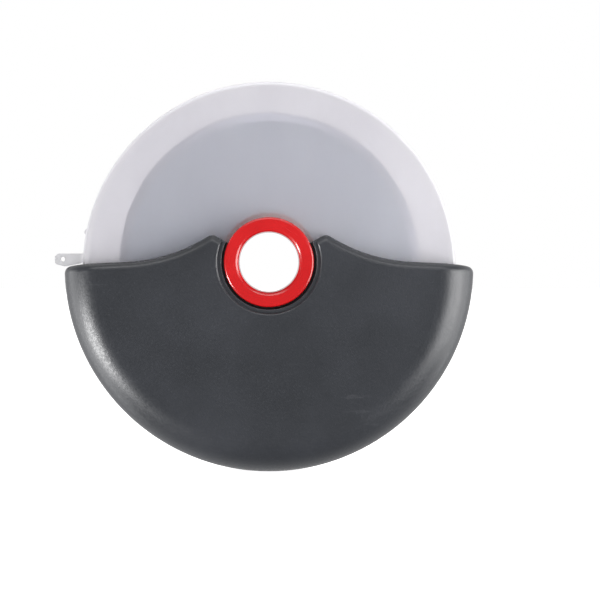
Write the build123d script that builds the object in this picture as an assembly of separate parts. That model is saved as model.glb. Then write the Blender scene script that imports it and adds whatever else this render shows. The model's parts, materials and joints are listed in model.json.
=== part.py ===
from build123d import *
from math import cos, radians, sin, sqrt, tan
import os

# A palm-grip wheel cutter with a slide-on blade guard. Millimetres, +Z up.
# The origin is the centre of the hub. The wheel spins about Y, the front faces -Y,
# and the guard lifts off along +Z. Rear pieces mirror the front ones in the X-Z plane.
# Radii are built outward: hub bore, barrel, journal, flange, recess, dish and ears, and
# then wheel, guard, slot and grip.

# Wheel
wheel_radius = 37.0
wheel_thickness = 1.0
bevel_width = 2.0
edge_thickness = 0.12

# Hub
hub_bore_radius = 7.4
hub_mouth_fillet = 1.1
barrel_wall = 1.2
barrel_reach = 5.0
socket_wall = 1.35  # the rear ring's wall around the barrel
flange_overhang = 1.05
flange_thickness = 2.7
flange_inset = 0.3  # the flange sits this far below the grip's flat
flange_fillet = 0.6
clamp_overhang = 1.2  # the clamp collar beside the disc reaches this far beyond the flange
clamp_thickness = 0.4
key_count = 3
key_width = 1.8
key_height = 0.6

# Bearing in each shell, with a flanged liner, a washer and a shallow dish around them
liner_wall = 0.9
liner_collar_thickness = 0.6
washer_thickness = 0.5
recess_gap = 0.6
recess_edge_fillet = 0.25
dish_width = 1.0
dish_depth = 0.7
dish_edge_fillet = 0.5
boss_wall = 1.9

# Guard
guard_room = 7.6  # from the disc's edge to the guard's rim wall
wheel_room = 0.7  # from the disc's face to the guard's wall
guard_drop = 1.5  # the guard's arc centre lies this far below the hub axis
guard_face_wall = 1.3
guard_rim_wall = 1.5
guard_rim_fillet = 0.8
skirt_depth = 10.0
tab_overhang = 2.6  # the tab reaches this far beyond the grip
tab_top = 2.1
tab_thickness = 2.0
tab_corner_fillet = 0.6
tab_hole_radius = 0.6
edge_nub_radius = 0.8
edge_nub_sink = 0.3
edge_nub_height = 7.4
nub_radius = 1.2
nub_height = 0.2
nub_inset = 4.5  # from the guard's side to a nub's centre
nub_drop = 5.6

# Grip, two hollow half-moon shells that meet at y = 0
side_land = 4.0  # from the guard's slot to the outside of the grip
grip_drop = 1.25  # the arc's centre lies this far below the hub axis
grip_half_thickness = 10.6
grip_rim_fillet = 8.5
top_edge_fillet = 1.8
parting_chamfer = 0.25
rim_wall = 2.4
lip_height = 2.2  # the rim of the shell above the inner plate
plate_ledge = 1.0  # the step that the inner plate seats on
face_wall = 2.4
corner_step = 2.0  # the hollow steps in by this much before its floor

# The grip's top edge, right half: an ear beside the hub, then a hollow sweep to the rim
ear_land = 1.3  # from the dish's edge to the ear's middle
ear_height = 6.55
ear_tip_radius = 2.0
ear_inner_slope = 30.0
ear_outer_slope = 31.0
mouth_height = 4.4
mouth_corner_radius = 3.0
# Points of the sweep: share of the way from the ear's middle to the rim, and height
sweep_points = [(0.17, 3.53), (0.31, 1.64), (0.47, 0.4), (0.66, -0.12), (0.88, -0.6)]
sweep_end = (1.055, -2.1)

# Inner plates, screws and pegs
plate_thickness = 1.6
post_radius = 4.0
post_room = 2.0  # from the disc's edge to a post
post_angles = [-24.0, -66.0, -114.0, -156.0]
screw_radius = 1.5
screw_head_radius = 2.6
screw_head_height = 1.8
screw_head_depth = 2.6  # from the rear flat down to the top of the head
screw_end_wall = 2.8  # from the front flat to the screw's tip
insert_radius = 2.1
insert_length = 5.5
cross_width = 0.6
cross_depth = 1.0
peg_radius = 1.0
peg_length = 2.4
peg_land = 1.9  # from the guard's slot to a peg's centre
peg_drop = 9.0

# Clearances
running_fit = 0.05
guard_clearance = 0.3
side_clearance = 0.4
notch_clearance = 0.4
end_play = 0.1
seat_fit = 0.05
plate_fit = 0.2
key_fit = 0.1
thread_fit = 0.03
screw_hole_fit = 0.2
barrel_fit = 0.03

# Hub and bearing, outward from the bore
half_wheel = wheel_thickness / 2
barrel_radius = hub_bore_radius + barrel_wall
journal_radius = barrel_radius + socket_wall
flange_radius = journal_radius + flange_overhang
clamp_radius = flange_radius + clamp_overhang
liner_bore = journal_radius + running_fit
liner_radius = liner_bore + liner_wall
recess_radius = flange_radius + recess_gap
dish_radius = recess_radius + dish_width
boss_radius = recess_radius + boss_wall
notch_radius = journal_radius + notch_clearance

# Guard and grip, outward from the wheel
guard_radius = wheel_radius + guard_room + guard_rim_wall
guard_half_thickness = half_wheel + wheel_room + guard_face_wall
slot_half_width = guard_radius + side_clearance
slot_half = guard_half_thickness + guard_clearance
grip_radius = slot_half_width + side_land
tab_reach = grip_radius + tab_overhang
plate_back = slot_half + plate_thickness
hollow_floor = grip_half_thickness - face_wall
step_floor = hollow_floor - (hollow_floor - plate_back) / 2
far = 4 * grip_radius

# Depths of the bearing, inward from the grip's flat
dish_floor = grip_half_thickness - dish_depth
flange_outer = grip_half_thickness - flange_inset
flange_inner = flange_outer - flange_thickness
washer_floor = flange_inner - end_play - washer_thickness
recess_floor = washer_floor - liner_collar_thickness

# Places of the posts, screws, pegs and nubs
post_circle = wheel_radius + post_room + post_radius
screw_seat = grip_half_thickness - screw_head_depth - screw_head_height
screw_tip = grip_half_thickness - screw_end_wall
ear_reach = dish_radius + ear_land
peg_place = (slot_half_width + peg_land, -peg_drop)
nub_place = (guard_radius - nub_inset, -nub_drop)


def slab(outline, y_low, y_high):
    """A plate with the given X-Z outline, from y_low to y_high."""
    return extrude(Plane.XZ.offset(-y_high) * outline, amount=y_high - y_low)


def ring(outer, inner, y_low, y_high):
    """A ring about the hub axis."""
    return slab(Circle(outer) - Circle(inner), y_low, y_high)


def rear(piece):
    """The rear twin of a front piece."""
    return mirror(piece, about=Plane.XZ)


def post_centres():
    """Where the four screw posts stand, on a circle about the grip's arc centre."""
    centres = []
    for angle in post_angles:
        x = post_circle * cos(radians(angle))
        z = post_circle * sin(radians(angle)) - grip_drop
        centres.append((x, z))
    return centres


def at_both_sides(place, radius):
    """Two circles, at a place and at its mirror image across x = 0."""
    return Sketch() + [Pos(side * place[0], place[1]) * Circle(radius) for side in (-1, 1)]


def at_posts(radius):
    """Four circles, one at each post."""
    return Sketch() + [Pos(x, z) * Circle(radius) for x, z in post_centres()]


def below_top_edge(drop=0.0):
    """Everything below the grip's top edge, lowered by drop."""
    tip_centre = (ear_reach, ear_height - ear_tip_radius)
    tip = CenterArc(
        tip_centre,
        ear_tip_radius,
        90 + ear_inner_slope,
        -(ear_inner_slope + ear_outer_slope),
    )
    inner_run = ((tip @ 0).Y - mouth_height) / tan(radians(ear_inner_slope))
    mouth_half = (tip @ 0).X - inner_run
    span = grip_radius - ear_reach
    sweep = [(ear_reach + share * span, height) for share, height in [*sweep_points, sweep_end]]
    last_run = (sweep[-1][0] - sweep[-2][0], sweep[-1][1] - sweep[-2][1])
    sweep_edge = Spline(
        [tip @ 1, *sweep],
        tangents=[tip % 1, Vector(last_run[0], 1.6 * last_run[1])],
    )
    mouth = Line((0, mouth_height), (mouth_half, mouth_height))
    inner_side = Line((mouth_half, mouth_height), tip @ 0)
    outside = Polyline(sweep[-1], (sweep[-1][0], -far), (0, -far), (0, mouth_height))
    half = make_face([mouth, inner_side, tip, sweep_edge, *outside.edges()])
    whole = half + mirror(half, about=Plane.YZ)
    corners = [v for v in whole.vertices() if abs(v.Y - mouth_height) < 0.01 and abs(v.X) > 1]
    return Pos(0, -drop) * fillet(corners, mouth_corner_radius)


def pocket_outline(inset=0.0):
    """The room inside the grip's rim, in which the guard and the wheel run."""
    arc = Pos(0, -grip_drop) * Circle(grip_radius - rim_wall - inset)
    width = 2 * (slot_half_width - inset)
    return arc & Rectangle(width, far)


def hollow_outline(inset):
    """The hollow behind the inner plate, inside the ledge that the plate seats on."""
    return pocket_outline(plate_ledge + inset) & below_top_edge(lip_height + plate_ledge + inset)


def grip_blank():
    """The front half of the grip as a full solid, with all its outside rounding."""
    puck = slab(Pos(0, -grip_drop) * Circle(grip_radius), -grip_half_thickness, 0)
    rim_fillet = min(grip_rim_fillet, 0.85 * grip_half_thickness)
    puck = fillet(puck.edges().sort_by(Axis.Y)[0], rim_fillet)
    blank = puck & slab(below_top_edge(), -grip_half_thickness, 0)
    top_edges = []
    for edge in blank.edges():
        middle = edge @ 0.5
        along_y = abs((edge % 0.5).Y) > 0.99
        if middle.Z < -grip_drop - 2 or middle.Y > -0.01:
            continue
        if along_y and abs(middle.X) < grip_radius - 1:
            continue
        top_edges.append(edge)
    blank = fillet(top_edges, top_edge_fillet)
    parting_edges = blank.edges().filter_by_position(Axis.Y, -0.01, 0.01)
    return chamfer(parting_edges, parting_chamfer)


def flared_bore(radius, mouth_fillet, floor_depth, mouth_depth):
    """A tool that cuts a round recess with a rounded mouth, down to a depth along Y."""
    outside = -mouth_depth - 1
    arc = CenterArc((radius + mouth_fillet, mouth_fillet - mouth_depth), mouth_fillet, 180, 90)
    corners = [(radius, -floor_depth), (0, -floor_depth), (0, outside), ((arc @ 1).X, outside)]
    rest = Polyline(arc @ 0, *corners, arc @ 1)
    return revolve(make_face([arc, *rest.edges()]), axis=Axis.Y)


def grip_half():
    """What the two shells share: the hollow blank, the hub boss and the screw posts."""
    blank = grip_blank()
    outline = pocket_outline()
    blade_room = slab(outline, -slot_half, 1)
    plate_room = slab(outline & below_top_edge(lip_height), -plate_back, -slot_half)
    hollow = slab(hollow_outline(0), -step_floor, -plate_back)
    hollow += slab(hollow_outline(corner_step), -hollow_floor, -plate_back)
    posts = slab(at_posts(post_radius), -grip_half_thickness, 0) & blank
    boss = slab(Circle(boss_radius), -grip_half_thickness, -slot_half) & blank
    shell = blank - blade_room - plate_room - hollow + boss + posts
    shell -= slab(Circle(liner_radius + seat_fit), -recess_floor, 0)
    shell -= flared_bore(recess_radius, recess_edge_fillet, recess_floor, dish_floor)
    return shell - flared_bore(dish_radius, dish_edge_fillet, dish_floor, grip_half_thickness)


def front_grip_shell(half):
    """Front shell: blind holes for the threaded inserts, and two locating pegs."""
    shell = half - slab(at_posts(insert_radius), -insert_length, 1)
    shell -= slab(at_posts(screw_radius + screw_hole_fit), -screw_tip - screw_hole_fit, 1)
    return shell + slab(at_both_sides(peg_place, peg_radius), -1, peg_length)


def rear_grip_shell(half):
    """Rear shell: stepped screw holes, and sockets for the pegs."""
    shell = rear(half) - slab(at_posts(screw_radius + screw_hole_fit), -1, grip_half_thickness)
    shell -= slab(at_posts(screw_head_radius + screw_hole_fit), screw_seat, grip_half_thickness)
    return shell - slab(at_both_sides(peg_place, peg_radius + key_fit), -1, peg_length + key_fit)


def inner_plate():
    """Front inner plate: closes the hollow of the shell and guides the guard's skirts."""
    outline = pocket_outline(plate_fit) & below_top_edge(lip_height + plate_fit)
    outline -= Circle(boss_radius + plate_fit)
    outline -= at_posts(post_radius + plate_fit)
    plate = slab(outline, -plate_back, -slot_half)
    return plate + slab(at_both_sides(nub_place, nub_radius), -slot_half, nub_height - slot_half)


def bearing_liner():
    """Front liner: a C-shaped flanged bush that the hub's journal turns in."""
    room = below_top_edge(seat_fit)
    sleeve = slab((Circle(liner_radius) - Circle(liner_bore)) & room, -recess_floor, -slot_half)
    collar_outline = (Circle(recess_radius - seat_fit) - Circle(liner_bore)) & room
    return sleeve + slab(collar_outline, -washer_floor, -recess_floor)


def thrust_washer():
    """Front washer between the liner's collar and the hub's flange."""
    outer = flange_radius - running_fit
    return ring(outer, liner_bore + running_fit, -washer_floor - washer_thickness, -washer_floor)


def cutting_wheel():
    """Steel disc, ground from both sides to a thin edge, with key slots at its bore."""
    inner = barrel_radius + key_fit
    flat = wheel_radius - bevel_width
    half_edge = edge_thickness / 2
    section = Polyline(
        (inner, -half_wheel),
        (flat, -half_wheel),
        (wheel_radius, -half_edge),
        (wheel_radius, half_edge),
        (flat, half_wheel),
        (inner, half_wheel),
        close=True,
    )
    disc = revolve(make_face(section), axis=Axis.Y)
    return disc - slab(hub_keys(key_fit), -half_wheel, half_wheel)


def hub_keys(fit=0.0):
    """Outline of the keys that make the disc turn with the hub."""
    reach = barrel_radius + key_height + fit
    keys = Sketch()
    for turn in range(key_count):
        key = Pos(reach / 2, 0) * Rectangle(reach, key_width + 2 * fit)
        keys += Rot(0, 0, 360 * turn / key_count + 90) * key
    return keys


def hub_half():
    """Front flange, journal and clamp collar, without the barrel or the bore."""
    flange = slab(Circle(flange_radius), -flange_outer, -flange_inner)
    flange = fillet(flange.edges().sort_by(Axis.Y)[0], flange_fillet)
    journal = slab(Circle(journal_radius), -flange_inner, -half_wheel)
    return flange + journal + slab(Circle(clamp_radius), -half_wheel - clamp_thickness, -half_wheel)


def bored(hub, y_low, y_high):
    """Cuts the through-hole, and rounds it where it opens at the flange."""
    hub -= slab(Circle(hub_bore_radius), y_low, y_high)
    mouths = []
    for edge in hub.edges().filter_by(GeomType.CIRCLE):
        at_face = abs(abs((edge @ 0.5).Y) - flange_outer) < 0.01
        if at_face and abs(edge.radius - hub_bore_radius) < 0.01:
            mouths.append(edge)
    return fillet(mouths, hub_mouth_fillet)


def front_hub_ring():
    """Front hub ring, whose keyed barrel passes through the disc into the rear ring."""
    hub = hub_half() + slab(hub_keys(), -half_wheel, half_wheel)
    hub += slab(Circle(barrel_radius), -half_wheel, barrel_reach)
    return bored(hub, -flange_outer, barrel_reach)


def rear_hub_ring():
    """Rear hub ring, with a socket that snaps over the barrel."""
    hub = rear(hub_half())
    hub -= slab(Circle(barrel_radius + barrel_fit), half_wheel, barrel_reach + barrel_fit)
    return bored(hub, 0, flange_outer)


def shell_screws():
    """Four pan-head screws from the rear, with cross recesses."""
    arm = 1.3 * screw_head_radius
    cross = Rectangle(arm, cross_width) + Rectangle(cross_width, arm)
    head_top = screw_seat + screw_head_height
    head = slab(Circle(screw_head_radius), screw_seat, head_top)
    head = fillet(head.edges().sort_by(Axis.Y)[-1], screw_head_height / 3)
    screw = slab(Circle(screw_radius), -screw_tip, screw_seat) + head
    screw -= slab(cross, head_top - cross_depth, head_top)
    return Compound(children=[Pos(x, 0, z) * screw for x, z in post_centres()])


def threaded_inserts():
    """Four brass inserts in the front shell's posts."""
    insert = ring(insert_radius, screw_radius + thread_fit, -insert_length, 0)
    return Compound(children=[Pos(x, 0, z) * insert for x, z in post_centres()])


def guard_outline(inset, bottom):
    """The guard's half-round outline with straight skirts down to bottom."""
    radius = guard_radius - inset
    dome = Pos(0, -guard_drop) * Circle(radius)
    height = -guard_drop - bottom
    skirt = Pos(0, bottom + height / 2) * Rectangle(2 * radius, height)
    above = Pos(0, bottom + far / 2) * Rectangle(far, far)
    return (dome + skirt) & above


def thumb_tab():
    """The tab that the guard is lifted by, which rests just above the grip's left corner."""
    root = -guard_radius + guard_rim_wall
    outline = Polyline(
        (root, tab_top),
        (-tab_reach + 0.8, tab_top),
        (-tab_reach, tab_top - 0.8),
        (-tab_reach + 0.2, -0.5),
        (-grip_radius, -1.1),
        (-guard_radius, -0.2),
        (root, -0.2),
        close=True,
    )
    face = make_face(outline)
    ends = [v for v in face.vertices() if v.X < -(guard_radius + grip_radius) / 2]
    face = fillet(ends, tab_corner_fillet)
    face -= Pos(-tab_reach + 2.0, tab_top / 3) * Circle(tab_hole_radius)
    return slab(face, -tab_thickness / 2, tab_thickness / 2)


def edge_nub():
    """A small rib across the guard's left edge, above the tab."""
    circle = guard_radius - edge_nub_sink
    x = -sqrt(circle**2 - (edge_nub_height + guard_drop) ** 2)
    return slab(Pos(x, edge_nub_height) * Circle(edge_nub_radius), -tab_thickness / 2, tab_thickness / 2)


def blade_guard():
    """One-piece guard: a flat pocket, open below, notched to pass the hub."""
    cavity_half = guard_half_thickness - guard_face_wall
    body = slab(guard_outline(0, -skirt_depth), -guard_half_thickness, guard_half_thickness)
    rim_edges = []
    for edge in body.edges():
        middle = edge @ 0.5
        on_face = abs(abs(middle.Y) - guard_half_thickness) < 0.01
        if on_face and middle.Z > -skirt_depth + 0.01:
            rim_edges.append(edge)
    body = fillet(rim_edges, guard_rim_fillet)
    body += thumb_tab()
    body += edge_nub()
    body -= slab(guard_outline(guard_rim_wall, -skirt_depth - 1), -cavity_half, cavity_half)
    notch = Circle(notch_radius) + Pos(0, -skirt_depth) * Rectangle(2 * notch_radius, 2 * skirt_depth)
    body -= slab(notch, -guard_half_thickness, guard_half_thickness)
    dimples = at_both_sides(nub_place, nub_radius + guard_clearance)
    dimple_floor = guard_half_thickness - guard_clearance
    body -= slab(dimples, dimple_floor, guard_half_thickness)
    body -= slab(dimples, -guard_half_thickness, -dimple_floor)
    return body


def build():
    """Every node of the cutter, by name."""
    half = grip_half()
    plate = inner_plate()
    liner = bearing_liner()
    washer = thrust_washer()
    return {
        "front_grip_shell": front_grip_shell(half),
        "rear_grip_shell": rear_grip_shell(half),
        "front_inner_plate": plate,
        "rear_inner_plate": rear(plate),
        "front_bearing_liner": liner,
        "rear_bearing_liner": rear(liner),
        "front_thrust_washer": washer,
        "rear_thrust_washer": rear(washer),
        "shell_screws": shell_screws(),
        "threaded_inserts": threaded_inserts(),
        "cutting_wheel": cutting_wheel(),
        "front_hub_ring": front_hub_ring(),
        "rear_hub_ring": rear_hub_ring(),
        "blade_guard": blade_guard(),
    }


os.makedirs("parts", exist_ok=True)
for name, piece in build().items():
    export_step(piece, f"parts/{name}.step")
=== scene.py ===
import json
from math import cos, pi, radians, sin

import bpy
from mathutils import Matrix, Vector


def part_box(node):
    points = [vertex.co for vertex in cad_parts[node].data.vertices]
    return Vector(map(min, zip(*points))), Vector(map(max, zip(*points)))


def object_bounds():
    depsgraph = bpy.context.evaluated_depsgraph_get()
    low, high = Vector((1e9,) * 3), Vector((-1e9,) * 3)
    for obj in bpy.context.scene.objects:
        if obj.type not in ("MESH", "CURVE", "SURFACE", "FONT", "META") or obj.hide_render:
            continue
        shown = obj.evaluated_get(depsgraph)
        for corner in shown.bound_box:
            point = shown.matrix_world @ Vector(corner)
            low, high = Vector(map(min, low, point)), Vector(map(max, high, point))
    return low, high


# A palm-grip wheel cutter, standing upright on its round grip. Metres, +Z up.
# The hub's axis is Y, the front faces -Y, and the origin is the centre of the hub.

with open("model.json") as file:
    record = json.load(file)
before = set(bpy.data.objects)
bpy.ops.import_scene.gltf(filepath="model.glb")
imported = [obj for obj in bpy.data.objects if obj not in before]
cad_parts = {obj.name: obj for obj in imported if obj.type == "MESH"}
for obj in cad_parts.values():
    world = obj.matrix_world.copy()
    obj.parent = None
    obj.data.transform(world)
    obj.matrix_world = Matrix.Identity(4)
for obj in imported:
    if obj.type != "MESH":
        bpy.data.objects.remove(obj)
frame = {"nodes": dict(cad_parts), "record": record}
cad_low, cad_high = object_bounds()

# Sizes taken from the frame
wheel_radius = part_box("cutting_wheel")[1].x
tab_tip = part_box("blade_guard")[0].x

# Camera: on the hub's axis, far off, as a product photographer stands. The view's width is that at
# the hub, and the hub's place in the picture is in shares of the picture's width.
camera_distance = 0.60
view_width = 0.148883
sensor_width = 0.036
hub_right_of_centre = -0.051667
hub_above_centre = 0.063333

# The grind at the disc's edge, as it is in the frame
wheel_bevel = 0.002
bevel_blend = 0.0002

# The stretch of the thumb tab that is painted greyer than the guard: painted shade for the dimmer
# light that comes through the tab
tab_shade_length = 0.006
tab_shade_blend = 0.001

# Stage. The room's light goes by a direction's Y, from -1 before the object to 1 behind it.
floor_reach = 4.0
floor_glow = 0.9
front_light = 0.34
back_light = 0.85
front_light_ends = -0.2
back_light_starts = 0.35
backdrop_white = 1.0

# Soft boxes: name, degrees off the line to the camera, degrees round it (0 is right, 90 is up),
# distance, width, height, radiance
SOFT_BOXES = [
    ("left_key", 65.0, 205.0, 0.60, 0.32, 0.15, 34.0),
    ("left_bank", 98.0, 195.0, 0.80, 0.50, 0.90, 2.9),
    ("right_key", 62.0, -4.0, 0.70, 0.60, 0.54, 8.5),
    ("right_bank", 100.0, -4.0, 0.80, 0.50, 0.90, 2.6),
    ("top_key", 42.0, 90.0, 0.80, 0.60, 0.34, 4.0),
    ("top_bank", 95.0, 90.0, 0.80, 0.90, 0.60, 1.2),
]

# The middle of a noise texture's range, where most of its values lie
NOISE_SPAN = (0.3, 0.7)

# A flag on a stand keeps this light off these nodes
flagged_light = "left_key"
FLAGGED_NODES = ("blade_guard", "cutting_wheel")


# ---------------------------------------------------------------- node helpers


class Tree:
    """One material's node tree, with short calls for the nodes that these materials use."""

    def __init__(self, name):
        self.material = bpy.data.materials.new(name)
        self.material.use_nodes = True
        self.nodes = self.material.node_tree.nodes
        self.links = self.material.node_tree.links
        self.nodes.clear()
        self.output = self.nodes.new("ShaderNodeOutputMaterial")
        self.place = self.nodes.new("ShaderNodeTexCoord").outputs["Object"]

    def put(self, socket, value):
        """Links a socket, or sets a plain value."""
        if isinstance(value, bpy.types.NodeSocket):
            self.links.new(value, socket)
        else:
            socket.default_value = value

    def math(self, operation, first, second=0.0):
        node = self.nodes.new("ShaderNodeMath")
        node.operation = operation
        for socket, value in zip(node.inputs, (first, second)):
            self.put(socket, value)
        return node.outputs[0]

    def ramp(self, value, low, high, out_low=0.0, out_high=1.0):
        """value mapped smoothly from low..high to out_low..out_high."""
        node = self.nodes.new("ShaderNodeMapRange")
        node.interpolation_type = "SMOOTHSTEP"
        for name, number in (
            ("Value", value),
            ("From Min", low),
            ("From Max", high),
            ("To Min", out_low),
            ("To Max", out_high),
        ):
            self.put(node.inputs[name], number)
        return node.outputs[0]

    def noise(self, scale, detail=3.0, roughness=0.55, place=None, stretch=None):
        node = self.nodes.new("ShaderNodeTexNoise")
        node.inputs["Scale"].default_value = scale
        node.inputs["Detail"].default_value = detail
        node.inputs["Roughness"].default_value = roughness
        source = place or self.place
        if stretch:
            mapping = self.nodes.new("ShaderNodeMapping")
            mapping.inputs["Scale"].default_value = stretch
            self.links.new(source, mapping.inputs["Vector"])
            source = mapping.outputs[0]
        self.links.new(source, node.inputs["Vector"])
        return node.outputs[0]

    def mix_color(self, share, first, second):
        node = self.nodes.new("ShaderNodeMix")
        node.data_type = "RGBA"
        self.put(node.inputs[0], share)
        self.put(node.inputs[6], first)
        self.put(node.inputs[7], second)
        return node.outputs[2]

    def bump(self, height, distance, strength=1.0, under=None):
        node = self.nodes.new("ShaderNodeBump")
        node.inputs["Distance"].default_value = distance
        node.inputs["Strength"].default_value = strength
        self.links.new(height, node.inputs["Height"])
        if under:
            self.links.new(under, node.inputs["Normal"])
        return node.outputs[0]

    def axes(self):
        """The x, y and z of the place on the piece."""
        node = self.nodes.new("ShaderNodeSeparateXYZ")
        self.links.new(self.place, node.inputs[0])
        return node.outputs[0], node.outputs[1], node.outputs[2]

    def vector(self, x, y, z):
        node = self.nodes.new("ShaderNodeCombineXYZ")
        for socket, value in zip(node.inputs, (x, y, z)):
            self.put(socket, value)
        return node.outputs[0]

    def polar(self):
        """Distance from the hub's axis, and the angle about it in radians."""
        x, _, z = self.axes()
        square = self.math("ADD", self.math("MULTIPLY", x, x), self.math("MULTIPLY", z, z))
        return self.math("SQRT", square), self.math("ARCTAN2", z, x)

    def principled(self, **values):
        """A Principled shader with the given sockets, by name with spaces as underscores."""
        node = self.nodes.new("ShaderNodeBsdfPrincipled")
        for name, value in values.items():
            self.put(node.inputs[name.replace("_", " ")], value)
        return node

    def finish(self, shader):
        self.links.new(shader.outputs[0], self.output.inputs["Surface"])
        return self.material


def rgb(red, green, blue):
    """An sRGB colour of 0..255 as linear RGBA."""
    shares = [level / 255 for level in (red, green, blue)]
    linear = [((share + 0.055) / 1.055) ** 2.4 if share > 0.04 else share / 12.92 for share in shares]
    return (*linear, 1.0)


# ------------------------------------------------------------------- materials


def grip_plastic():
    """Satin dark grey moulding: spark-eroded grain, faint flow mottling, pale specks and scuffs."""
    tree = Tree("grip_plastic")
    mottle = tree.noise(scale=38.0, detail=4.0)
    speck = tree.noise(scale=2600.0, detail=2.0)
    streak = tree.noise(scale=70.0, detail=6.0, roughness=0.7, stretch=(1.0, 1.0, 9.0))
    grain = tree.noise(scale=1700.0, detail=3.0, roughness=0.6)
    ripple = tree.noise(scale=120.0, detail=2.0)
    specks = tree.ramp(speck, 0.62, 0.78, 0.0, 0.25)
    scuffs = tree.ramp(streak, 0.62, 0.72, 0.0, 0.12)
    color = tree.mix_color(tree.ramp(mottle, *NOISE_SPAN), rgb(31, 33, 37), rgb(37, 39, 44))
    color = tree.mix_color(specks, color, rgb(72, 74, 80))
    color = tree.mix_color(scuffs, color, rgb(84, 85, 90))
    satin = tree.ramp(mottle, *NOISE_SPAN, 0.35, 0.41)
    scuffed = tree.math("MULTIPLY", scuffs, 0.5)
    grained = tree.ramp(grain, 0.35, 0.65, -0.05, 0.05)
    roughness = tree.math("ADD", tree.math("ADD", satin, scuffed), grained)
    grain_normal = tree.bump(grain, distance=0.00003, strength=1.0)
    normal = tree.bump(ripple, distance=0.0001, strength=0.10, under=grain_normal)
    shader = tree.principled(Base_Color=color, Roughness=roughness, Normal=normal)
    shader.inputs["IOR"].default_value = 1.5
    return tree.finish(shader)


def plate_plastic():
    """Matte black-grey moulding of the inner plates."""
    tree = Tree("plate_plastic")
    cloud = tree.ramp(tree.noise(scale=60.0), *NOISE_SPAN)
    color = tree.mix_color(cloud, rgb(40, 41, 44), rgb(50, 51, 55))
    roughness = tree.ramp(tree.noise(scale=300.0), *NOISE_SPAN, 0.5, 0.62)
    normal = tree.bump(tree.noise(scale=1800.0), distance=0.00003, strength=0.5)
    return tree.finish(tree.principled(Base_Color=color, Roughness=roughness, Normal=normal))


def bearing_plastic():
    """Black acetal, faintly turned."""
    tree = Tree("bearing_plastic")
    radius, _ = tree.polar()
    rings = tree.noise(scale=9000.0, detail=2.0, place=tree.vector(radius, 0.0, 0.0))
    color = tree.mix_color(rings, rgb(30, 30, 32), rgb(42, 42, 45))
    roughness = tree.ramp(rings, *NOISE_SPAN, 0.3, 0.42)
    normal = tree.bump(rings, distance=0.00001, strength=0.4)
    return tree.finish(tree.principled(Base_Color=color, Roughness=roughness, Normal=normal))


def hub_plastic():
    """Glossy red moulding with a thin clear skin, faint ripple and hairline scratches."""
    tree = Tree("hub_plastic")
    radius, angle = tree.polar()
    cloud = tree.noise(scale=90.0, detail=3.0)
    round_the_hub = tree.vector(radius, tree.math("MULTIPLY", angle, 0.0006), 0.0)
    scratch = tree.ramp(tree.noise(scale=2600.0, detail=3.0, place=round_the_hub), 0.60, 0.72)
    color = tree.mix_color(tree.ramp(cloud, *NOISE_SPAN), rgb(159, 4, 8), rgb(169, 7, 11))
    gloss = tree.ramp(cloud, *NOISE_SPAN, 0.20, 0.27)
    roughness = tree.math("ADD", gloss, tree.math("MULTIPLY", scratch, 0.08))
    ripple = tree.bump(tree.noise(scale=260.0, detail=2.0), distance=0.00004, strength=0.22)
    normal = tree.bump(scratch, distance=0.000004, strength=0.5, under=ripple)
    shader = tree.principled(Base_Color=color, Roughness=roughness, Normal=normal)
    shader.inputs["Coat Weight"].default_value = 0.3
    shader.inputs["Coat Roughness"].default_value = 0.08
    return tree.finish(shader)


def wheel_steel():
    """Stainless disc: fine circular brushing on the flats, and a radial grind on the bevel."""
    tree = Tree("wheel_steel")
    radius, angle = tree.polar()
    flat_radius = wheel_radius - wheel_bevel
    on_bevel = tree.ramp(radius, flat_radius - bevel_blend, flat_radius)
    round_the_disc = tree.vector(radius, tree.math("MULTIPLY", angle, 0.0004), 0.0)
    across_the_bevel = tree.vector(tree.math("MULTIPLY", angle, 220.0), radius, 0.0)
    turned = tree.noise(scale=14000.0, detail=3.0, place=round_the_disc)
    ground = tree.noise(scale=1.0, detail=3.0, place=across_the_bevel)
    cloud = tree.noise(scale=50.0, detail=3.0)
    flat = tree.mix_color(turned, rgb(162, 171, 184), rgb(183, 191, 203))
    flat = tree.mix_color(tree.ramp(cloud, *NOISE_SPAN, 0.0, 0.2), flat, rgb(167, 175, 188))
    edge = tree.mix_color(ground, rgb(160, 163, 174), rgb(186, 189, 198))
    color = tree.mix_color(on_bevel, flat, edge)
    lines = tree.mix_color(on_bevel, turned, ground)
    brushed = tree.ramp(cloud, *NOISE_SPAN, 0.30, 0.33)
    roughness = tree.math("ADD", brushed, tree.math("MULTIPLY", on_bevel, -0.06))
    normal = tree.bump(lines, distance=0.000006, strength=0.6)
    shader = tree.principled(Base_Color=color, Roughness=roughness, Normal=normal)
    shader.inputs["Metallic"].default_value = 1.0
    return tree.finish(shader)


def screw_steel():
    """Zinc-plated steel with a slight blue-grey cloud."""
    tree = Tree("screw_steel")
    cloud = tree.noise(scale=900.0, detail=4.0)
    color = tree.mix_color(cloud, rgb(168, 170, 176), rgb(205, 206, 210))
    roughness = tree.ramp(cloud, *NOISE_SPAN, 0.24, 0.38)
    normal = tree.bump(tree.noise(scale=5000.0), distance=0.00001, strength=0.4)
    shader = tree.principled(Base_Color=color, Roughness=roughness, Normal=normal)
    shader.inputs["Metallic"].default_value = 1.0
    return tree.finish(shader)


def insert_brass():
    """Machined brass of the threaded inserts."""
    tree = Tree("insert_brass")
    cloud = tree.noise(scale=700.0, detail=4.0)
    color = tree.mix_color(cloud, rgb(176, 140, 70), rgb(206, 170, 96))
    roughness = tree.ramp(cloud, *NOISE_SPAN, 0.25, 0.4)
    shader = tree.principled(Base_Color=color, Roughness=roughness)
    shader.inputs["Metallic"].default_value = 1.0
    return tree.finish(shader)


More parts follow.
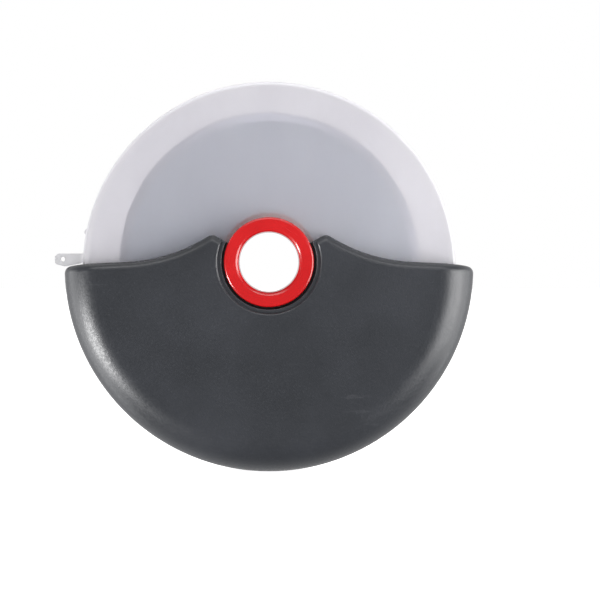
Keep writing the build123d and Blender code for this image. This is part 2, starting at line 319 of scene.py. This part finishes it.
def guard_plastic():
    """Frosted translucent polypropylene: hazy, faintly uneven, lightly grained, with painted shade
    greying the tab.
    """
    tree = Tree("guard_plastic")
    x, _, _ = tree.axes()
    # Painted shade: the tab's stretch is painted grey to stand in for the dimmer light that comes
    # through it.
    tab_shade_end = tab_tip + tab_shade_length
    painted_tab_shade = tree.ramp(x, tab_shade_end, tab_shade_end + tab_shade_blend, 1.0, 0.0)
    cloud = tree.noise(scale=45.0, detail=3.0)
    flow = tree.noise(scale=26.0, detail=4.0, roughness=0.6, stretch=(1.0, 1.0, 0.35))
    color = tree.mix_color(tree.ramp(flow, *NOISE_SPAN), rgb(234, 233, 237), rgb(243, 242, 245))
    color = tree.mix_color(painted_tab_shade, color, rgb(211, 211, 213))
    roughness = tree.ramp(cloud, *NOISE_SPAN, 0.36, 0.44)
    grain = tree.bump(tree.noise(scale=3000.0, detail=2.0), distance=0.00002, strength=0.35)
    normal = tree.bump(flow, distance=0.0001, strength=0.08, under=grain)
    shader = tree.principled(Base_Color=color, Roughness=roughness, Normal=normal)
    shader.inputs["IOR"].default_value = 1.49
    shader.inputs["Transmission Weight"].default_value = 0.82
    haze = tree.nodes.new("ShaderNodeVolumeAbsorption")
    haze.inputs["Color"].default_value = (0.10, 0.075, 0.125, 1.0)
    haze.inputs["Density"].default_value = 78.0
    tree.links.new(haze.outputs[0], tree.output.inputs["Volume"])
    return tree.finish(shader)


MATERIALS = {
    "grip_plastic": grip_plastic,
    "plate_plastic": plate_plastic,
    "bearing_plastic": bearing_plastic,
    "hub_plastic": hub_plastic,
    "wheel_steel": wheel_steel,
    "screw_steel": screw_steel,
    "insert_brass": insert_brass,
    "guard_plastic": guard_plastic,
}


def dress_nodes():
    """Gives every CAD node the material of its slot in the record."""
    made = {slot: make() for slot, make in MATERIALS.items()}
    for subpart in frame["record"]["subparts"]:
        mesh = frame["nodes"][subpart["node"]].data
        mesh.materials.clear()
        mesh.materials.append(made[subpart["material_slot"]])


# ----------------------------------------------------------------------- stage


def sees_backdrop(nodes, links):
    """1 for rays from the camera or straight through clear plastic, 0 for light on the object."""
    path = nodes.new("ShaderNodeLightPath")
    either = nodes.new("ShaderNodeMath")
    either.operation = "MAXIMUM"
    links.new(path.outputs["Is Camera Ray"], either.inputs[0])
    links.new(path.outputs["Is Transmission Ray"], either.inputs[1])
    return either.outputs[0]


def paper():
    """White paper under a light of its own, with a trace of tooth."""
    tree = Tree("floor_paper")
    tone = tree.noise(scale=400.0, detail=2.0)
    color = tree.mix_color(tone, (0.86, 0.86, 0.86, 1.0), (0.90, 0.90, 0.90, 1.0))
    shader = tree.principled(Base_Color=color)
    shader.inputs["Roughness"].default_value = 0.9
    shader.inputs["Specular IOR Level"].default_value = 0.0
    shader.inputs["Emission Color"].default_value = (1.0, 1.0, 1.0, 1.0)
    shader.inputs["Emission Strength"].default_value = floor_glow
    return tree.finish(shader)


def add_floor():
    """A plain pale floor under the grip, which casts no light or reflection on the object."""
    level = cad_low.z
    sides = ((-1, -1), (1, -1), (1, 1), (-1, 1))
    corners = [(x * floor_reach, y * floor_reach, level) for x, y in sides]
    mesh = bpy.data.meshes.new("floor")
    mesh.from_pydata(corners, [], [(0, 1, 2, 3)])
    mesh.materials.append(paper())
    floor = bpy.data.objects.new("floor", mesh)
    floor.visible_glossy = False
    floor.visible_diffuse = False
    floor.visible_shadow = False
    bpy.context.scene.collection.objects.link(floor)
    return floor


def add_soft_box(name, off_axis, around, distance, width, height, radiance):
    """A rectangular soft box that faces the hub, of a given brightness."""
    tilt, turn = radians(off_axis), radians(around)
    toward = Vector((sin(tilt) * cos(turn), -cos(tilt), sin(tilt) * sin(turn)))
    data = bpy.data.lights.new(name, "AREA")
    data.shape = "RECTANGLE"
    data.size = width
    data.size_y = height
    data.energy = radiance * pi * width * height
    light = bpy.data.objects.new(name, data)
    light.location = distance * toward
    light.rotation_euler = toward.to_track_quat("Z", "Y").to_euler()
    bpy.context.scene.collection.objects.link(light)
    return light


def flag_off(light, floor):
    """Lets a light reach the floor and every node but the flagged ones."""
    reached = bpy.data.collections.new("unflagged")
    reached.objects.link(floor)
    for node, piece in frame["nodes"].items():
        if node not in FLAGGED_NODES:
            reached.objects.link(piece)
    light.light_linking.receiver_collection = reached


def add_world():
    """A room that looks white, and lights the object brightly from behind and dimly from before."""
    world = bpy.data.worlds.new("studio")
    world.use_nodes = True
    nodes, links = world.node_tree.nodes, world.node_tree.links
    direction = nodes.new("ShaderNodeSeparateXYZ")
    links.new(nodes.new("ShaderNodeTexCoord").outputs["Generated"], direction.inputs[0])
    light = nodes.new("ShaderNodeMapRange")
    light.interpolation_type = "SMOOTHSTEP"
    light.inputs["From Min"].default_value = front_light_ends
    light.inputs["From Max"].default_value = back_light_starts
    light.inputs["To Min"].default_value = front_light
    light.inputs["To Max"].default_value = back_light
    links.new(direction.outputs["Y"], light.inputs["Value"])
    strength = nodes.new("ShaderNodeMapRange")
    strength.inputs["To Max"].default_value = backdrop_white
    links.new(light.outputs[0], strength.inputs["To Min"])
    links.new(sees_backdrop(nodes, links), strength.inputs["Value"])
    background = nodes["Background"]
    background.inputs["Color"].default_value = (1.0, 1.0, 1.0, 1.0)
    links.new(strength.outputs[0], background.inputs["Strength"])
    bpy.context.scene.world = world


def add_camera():
    """Looks along the hub's axis, with the picture's centre just below and right of the hub."""
    data = bpy.data.cameras.new("camera")
    data.sensor_width = 1000 * sensor_width
    data.lens = 1000 * sensor_width * camera_distance / view_width
    data.shift_x = -hub_right_of_centre
    data.shift_y = -hub_above_centre
    data.clip_start = 0.01
    data.clip_end = 50.0
    camera = bpy.data.objects.new("camera", data)
    camera.location = (0.0, -camera_distance, 0.0)
    camera.rotation_euler = (radians(90), 0.0, 0.0)
    bpy.context.scene.collection.objects.link(camera)
    bpy.context.scene.camera = camera


dress_nodes()
floor = add_floor()
add_world()
lights = {box[0]: add_soft_box(*box) for box in SOFT_BOXES}
flag_off(lights[flagged_light], floor)
add_camera()
bpy.context.scene.view_settings.view_transform = "Standard"
